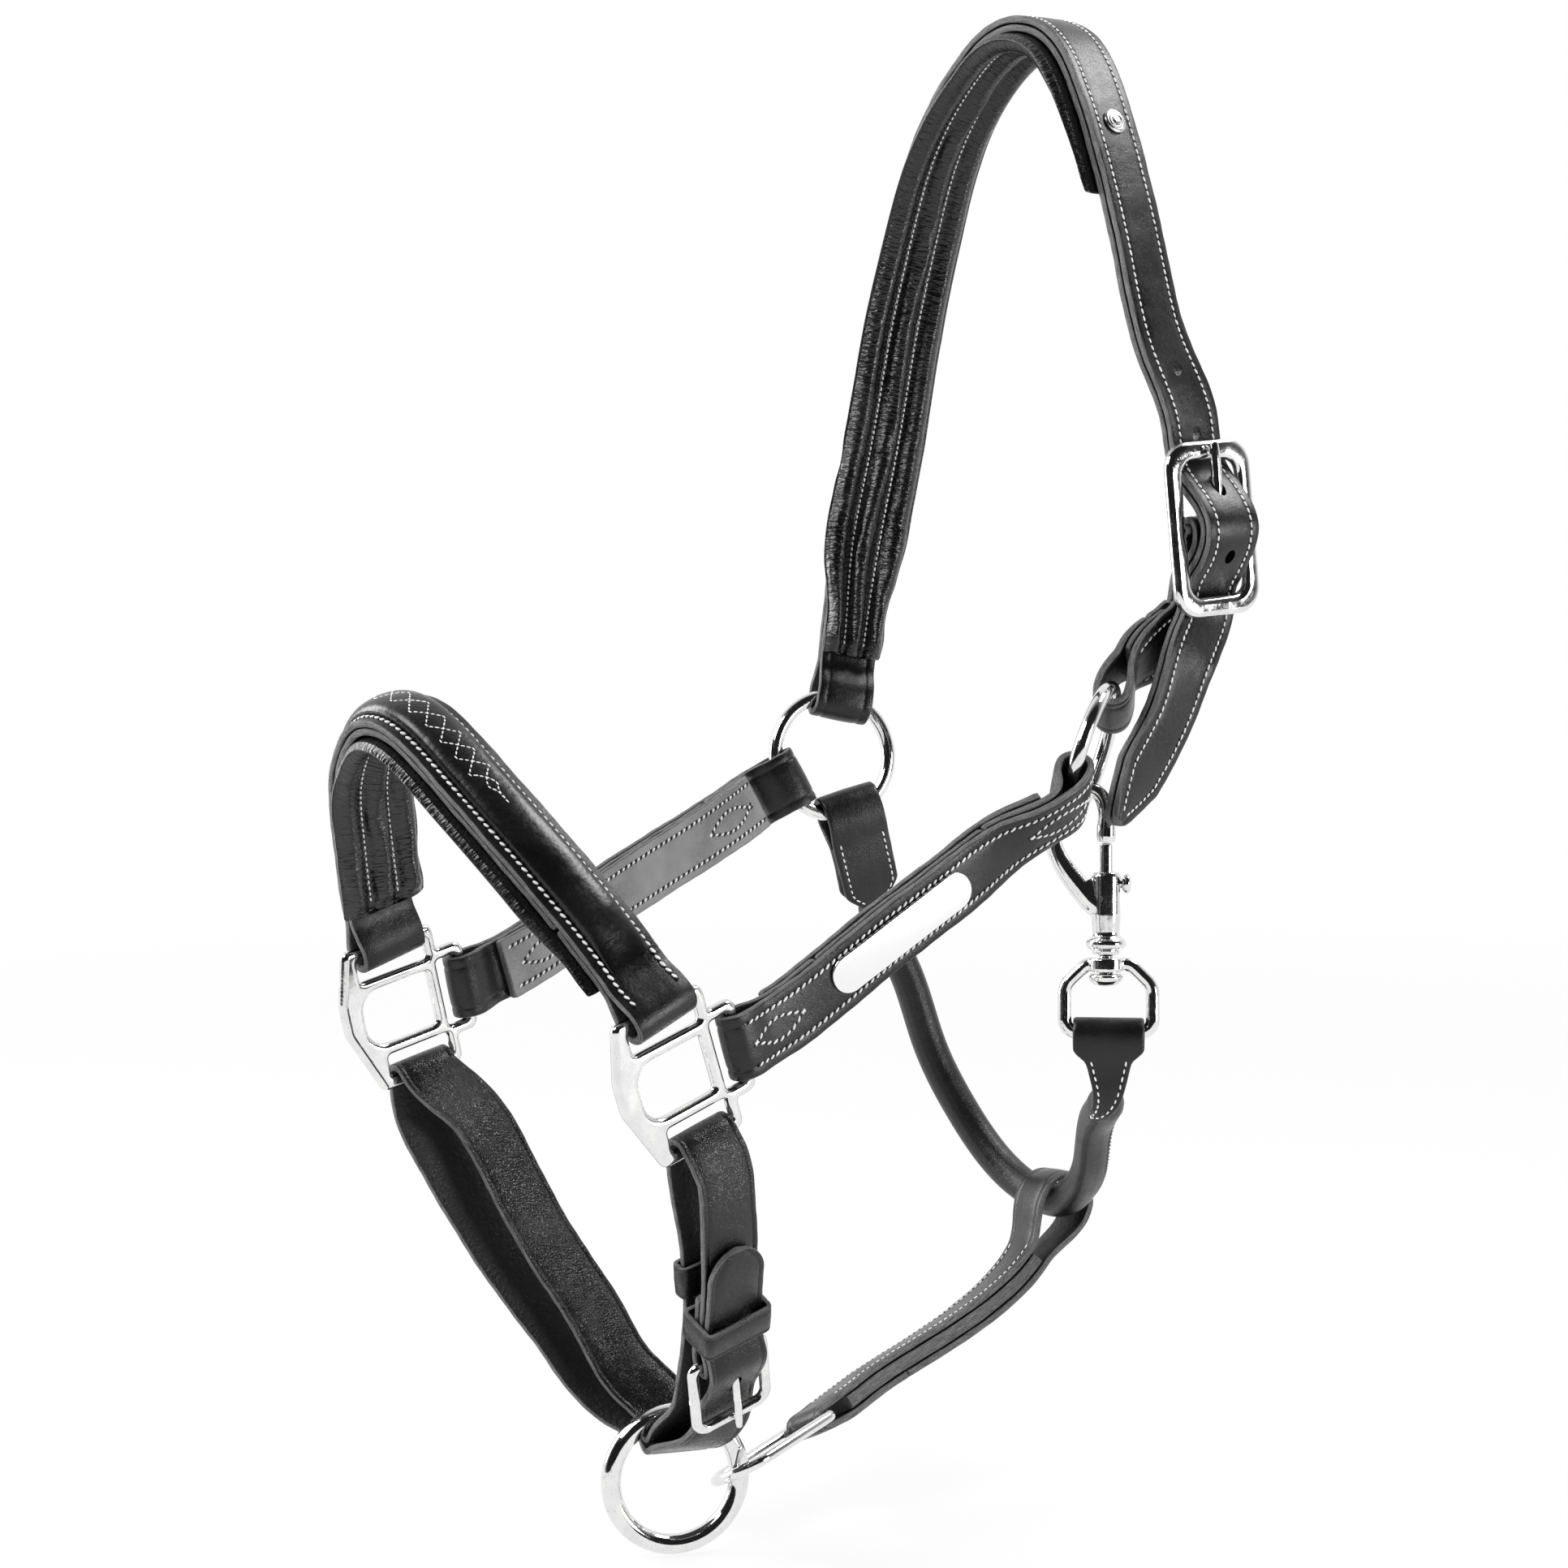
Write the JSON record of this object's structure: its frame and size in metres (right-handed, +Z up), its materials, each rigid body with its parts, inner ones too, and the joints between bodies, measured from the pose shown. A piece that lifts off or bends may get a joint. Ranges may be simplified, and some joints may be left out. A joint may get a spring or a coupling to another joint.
{
  "type": "leather horse halter",
  "caption": "Black leather horse halter with padded crown and noseband, rolled throat, steel rings, buckles and a bolt snap, in its worn shape.",
  "frame": {"origin": "inside the halter, midway between the two cheek rings and level with them, where the horse's head passes", "axes": "+Z up, -Y towards the horse's nose, +X to the near side (the horse's left), where the buckles are"},
  "size_m": [0.2122, 0.3429, 0.6099],
  "materials": {
    "black_leather": "dressed black leather, satin",
    "pad_leather": "soft black leather over padding",
    "polished_steel": "polished"
  },
  "bodies": {
    "halter": {"crown_strap": "black_leather", "crown_lining": "black_leather", "crown_pad": "pad_leather", "crown_stud": "polished_steel", "buckle_chape": "black_leather", "chape_filler": "black_leather", "crown_buckle_frame": "polished_steel", "near_cheek_strap": "black_leather", "near_cheek_filler": "black_leather", "near_cheek_lining": "black_leather", "off_cheek_strap": "black_leather", "off_cheek_filler": "black_leather", "off_cheek_lining": "black_leather", "nameplate": "polished_steel", "noseband_strap": "black_leather", "noseband_lining": "black_leather", "noseband_raised": "pad_leather", "noseband_pad": "pad_leather", "near_square": "polished_steel", "off_square": "polished_steel", "chin_strap": "black_leather", "chin_fixed_keeper": "black_leather", "chin_buckle_frame": "polished_steel", "throat_strap": "black_leather", "connector_strap": "black_leather", "connector_filler": "black_leather", "snap_swivel_eye": "polished_steel"},
    "near_ring": {"near_ring": "polished_steel"},
    "off_ring": {"off_ring": "polished_steel"},
    "chin_ring": {"chin_ring": "polished_steel"},
    "link": {"connector_link": "polished_steel"},
    "snap": {"snap_body": "polished_steel"},
    "bolt": {"snap_bolt": "polished_steel"},
    "crown_tongue": {"crown_buckle_tongue": "polished_steel"},
    "chin_tongue": {"chin_buckle_tongue": "polished_steel"},
    "sliding_keeper": {"chin_sliding_keeper": "black_leather"}
  },
  "joints": [
    {"name": "near_ring_turn", "type": "hinge", "parent": "halter", "child": "near_ring", "pos_m": [0.084, -0.0026, 0.0078], "axis": [0.79, 0.549, -0.273], "continuous": true},
    {"name": "off_ring_turn", "type": "hinge", "parent": "halter", "child": "off_ring", "pos_m": [-0.082, 0, -0.005], "axis": [0.9317, -0.3306, 0.1503], "continuous": true},
    {"name": "chin_ring_turn", "type": "hinge", "parent": "halter", "child": "chin_ring", "pos_m": [0.007, -0.1515, -0.2755], "axis": [0.9314, -0.3605, 0.0501], "continuous": true},
    {"name": "link_swing", "type": "hinge", "parent": "halter", "child": "link", "pos_m": [0.009, -0.0845, -0.2655], "axis": [-0.892, -0.0588, -0.4482], "range_deg": [-2, 9]},
    {"name": "snap_swivel", "type": "hinge", "parent": "halter", "child": "snap", "pos_m": [0.0913, -0.0012, -0.042], "axis": [-0.066, 0.0554, 0.9963], "range_deg": [-18, 0]},
    {"name": "snap_bolt_slide", "type": "slide", "parent": "snap", "child": "bolt", "axis": [0.066, -0.0554, -0.9963], "range_m": [0, 0.011], "stiffness_N_per_m": 400, "springref_m": -0.005},
    {"name": "crown_tongue_swing", "type": "hinge", "parent": "halter", "child": "crown_tongue", "pos_m": [0.098, 0.049, 0.095], "axis": [0.0954, 0.9931, 0.0688], "range_deg": [-1, 4]},
    {"name": "chin_tongue_swing", "type": "hinge", "parent": "halter", "child": "chin_tongue", "pos_m": [0.05705, -0.1635, -0.21229], "axis": [0.1085, 0.9488, 0.2968], "range_deg": [-5, 1]},
    {"name": "keeper_slide", "type": "slide", "parent": "halter", "child": "sliding_keeper", "axis": [-0.2762, 0.2637, -0.9242], "range_m": [-0.01, 0.005]}
  ]
}
